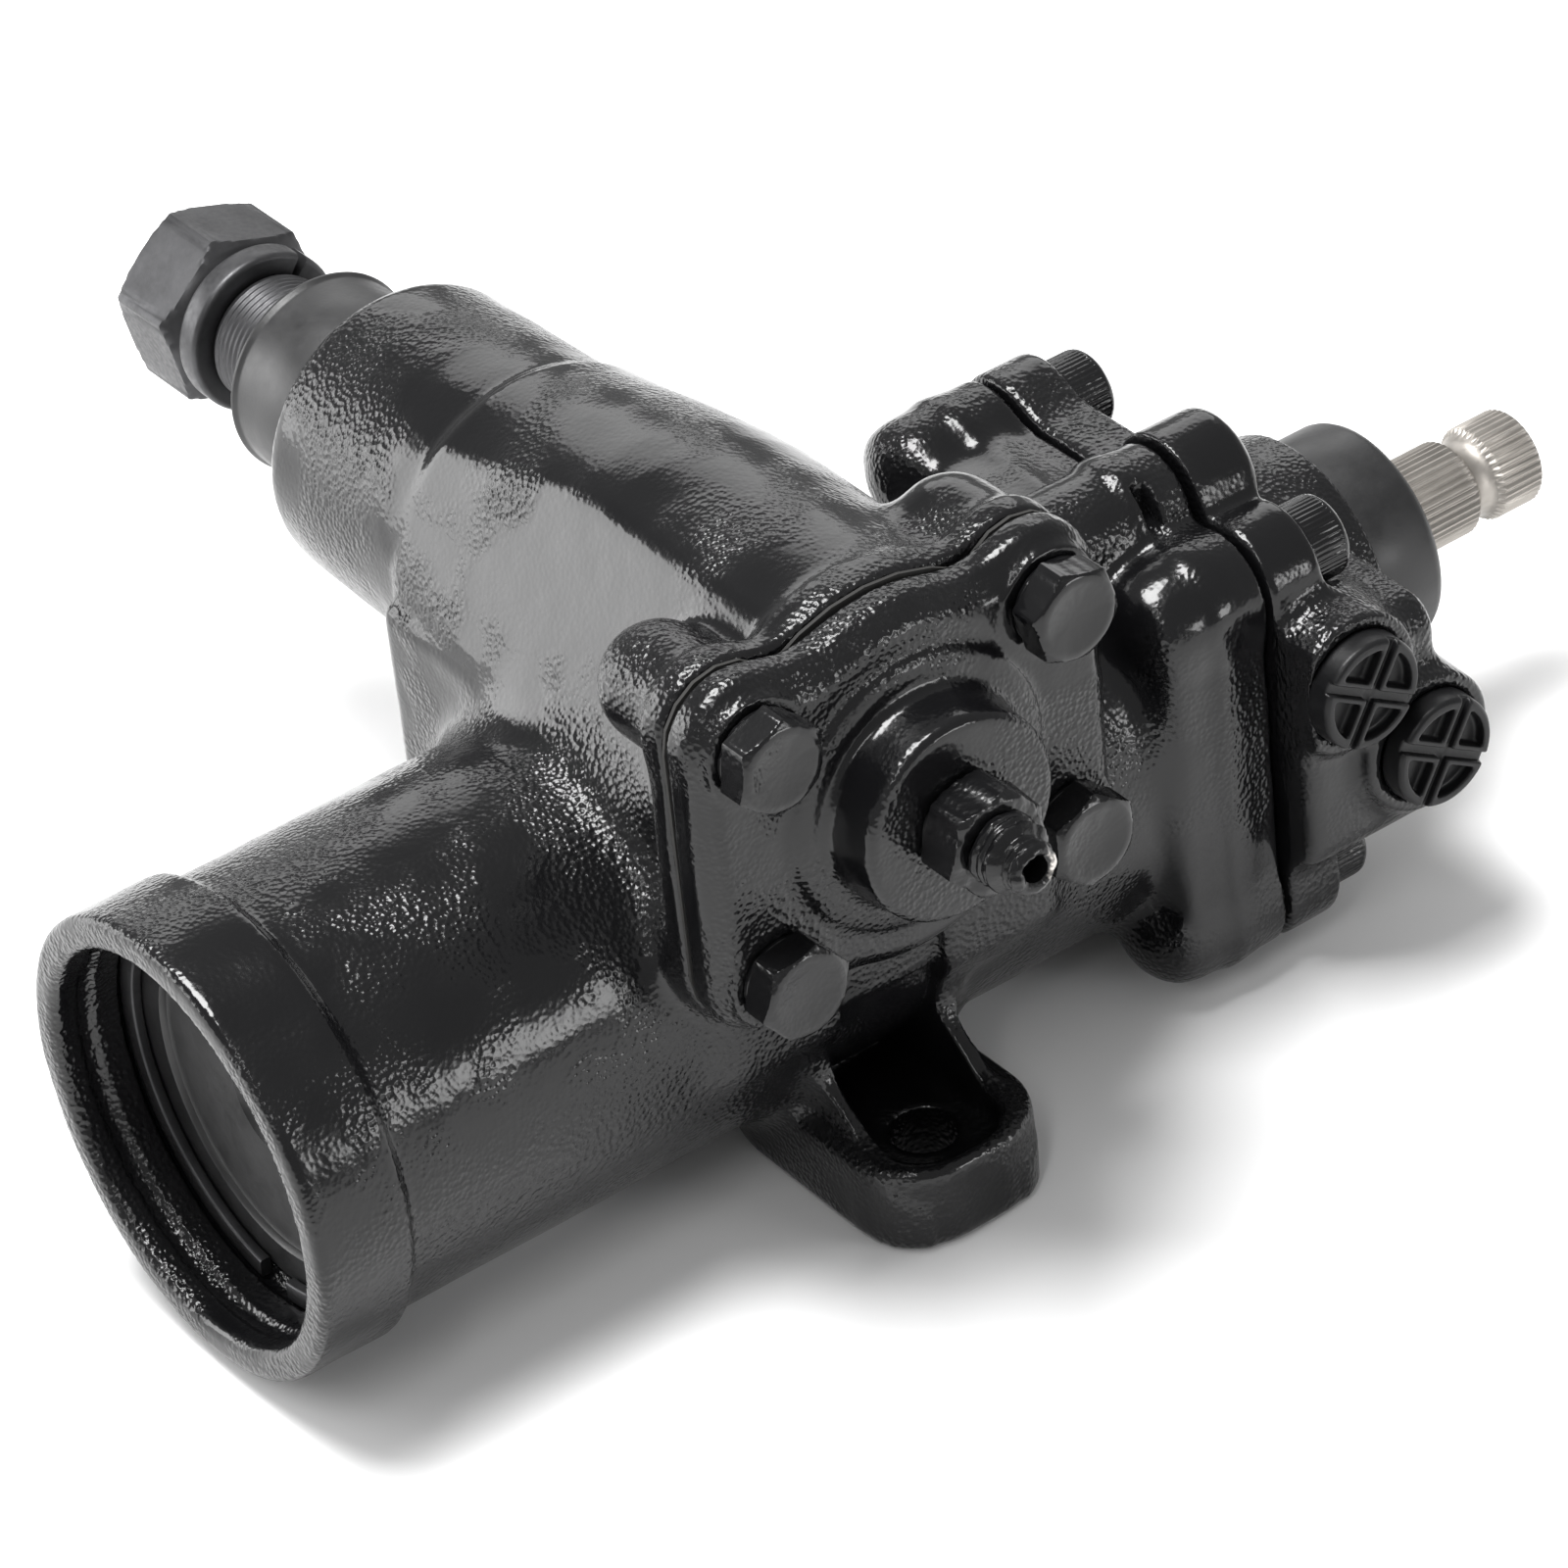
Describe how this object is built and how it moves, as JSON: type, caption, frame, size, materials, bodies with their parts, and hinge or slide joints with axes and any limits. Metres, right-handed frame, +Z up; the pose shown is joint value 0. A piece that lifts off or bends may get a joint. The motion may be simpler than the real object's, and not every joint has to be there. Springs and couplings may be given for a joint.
{
  "type": "worm gearbox",
  "caption": "Recirculating-ball worm steering gearbox: worm and rack piston in a cast barrel turn a cross sector shaft with a serrated end and nut.",
  "frame": {"origin": "bottom centre of the whole part's box, on the plane of the three mounting feet", "axes": "+X along the worm axis towards the input shaft, +Y along the sector shaft towards the pitman nut, +Z up"},
  "size_m": [0.3128, 0.2656, 0.1324],
  "materials": {
    "black_paint": "gloss black paint over fine sand-cast iron",
    "satin_black": "satin black",
    "rubber": "matt black oil-resistant rubber",
    "black_plastic": "moulded black plastic",
    "gasket": "dark fibre gasket",
    "phosphate_steel": "dark grey phosphate coated steel",
    "bright_steel": "bare machined steel",
    "bearing_steel": "ground and hardened steel",
    "bronze": "plain bearing bronze",
    "ptfe": "bronze filled seal plastic"
  },
  "bodies": {
    "housing": {"gear_housing": "black_paint", "valve_housing": "black_paint", "valve_housing_o_ring": "rubber", "valve_housing_screw_1": "black_paint", "valve_housing_screw_2": "black_paint", "valve_housing_screw_3": "black_paint", "valve_housing_screw_4": "black_paint", "side_cover": "black_paint", "side_cover_gasket": "gasket", "side_cover_bushing": "bronze", "cover_bolt_1": "black_paint", "cover_bolt_2": "black_paint", "cover_bolt_3": "black_paint", "cover_bolt_4": "black_paint", "lash_adjuster_screw": "phosphate_steel", "adjuster_lock_nut": "black_paint", "end_plug": "satin_black", "end_plug_o_ring": "rubber", "end_plug_retaining_ring": "phosphate_steel", "sector_bearing_inner": "bearing_steel", "sector_bearing_outer": "bearing_steel", "sector_shaft_seal": "rubber", "sector_seal_backup_washer": "ptfe", "sector_seal_retaining_ring": "phosphate_steel", "dust_seal": "satin_black", "worm_bearing_inner": "bearing_steel", "worm_bearing_outer": "bearing_steel", "worm_bearing_nut": "phosphate_steel", "input_bearing": "bearing_steel", "input_shaft_seal": "rubber", "nose_dust_cap": "satin_black", "pressure_port_plug": "black_plastic", "return_port_plug": "black_plastic"},
    "sector": {"sector_shaft": "phosphate_steel", "lock_washer": "phosphate_steel", "pitman_nut": "phosphate_steel"},
    "piston": {"rack_piston": "phosphate_steel", "piston_seal_ring": "ptfe", "piston_end_plug": "phosphate_steel", "ball_return_guide": "bearing_steel", "ball_guide_clamp": "phosphate_steel", "ball_1": "bearing_steel", "ball_2": "bearing_steel", "ball_3": "bearing_steel", "ball_4": "bearing_steel", "ball_5": "bearing_steel", "ball_6": "bearing_steel", "ball_7": "bearing_steel", "ball_8": "bearing_steel"},
    "worm": {"worm": "bearing_steel", "worm_drive_pin": "bearing_steel", "torsion_bar": "bearing_steel", "torsion_bar_pin_worm": "bearing_steel", "valve_sleeve": "bearing_steel", "valve_sleeve_ring_1": "ptfe", "valve_sleeve_ring_2": "ptfe", "valve_sleeve_ring_3": "ptfe"},
    "input": {"input_shaft": "bright_steel", "torsion_bar_pin_input": "bearing_steel"}
  },
  "joints": [
    {"name": "sector_turn", "type": "hinge", "parent": "housing", "child": "sector", "pos_m": [-0.0306, -0.04075, 0.094], "axis": [0, 1, 0], "range_deg": [-38, 38]},
    {"name": "piston_slide", "type": "slide", "parent": "housing", "child": "piston", "axis": [1, 0, 0], "range_m": [-0.016, 0.016]},
    {"name": "worm_spin", "type": "hinge", "parent": "housing", "child": "worm", "pos_m": [-0.0166, -0.04075, 0.048], "axis": [1, 0, 0], "range_deg": [-609, 609]},
    {"name": "input_twist", "type": "hinge", "parent": "worm", "child": "input", "pos_m": [-0.0166, -0.04075, 0.048], "axis": [1, 0, 0], "range_deg": [-4.5, 4.5], "stiffness_Nm_per_rad": 40}
  ],
  "couplings": [
    {"joint": "piston_slide", "follows": "sector_turn", "m_per_rad": -0.024},
    {"joint": "worm_spin", "follows": "sector_turn", "ratio": 16.008}
  ]
}
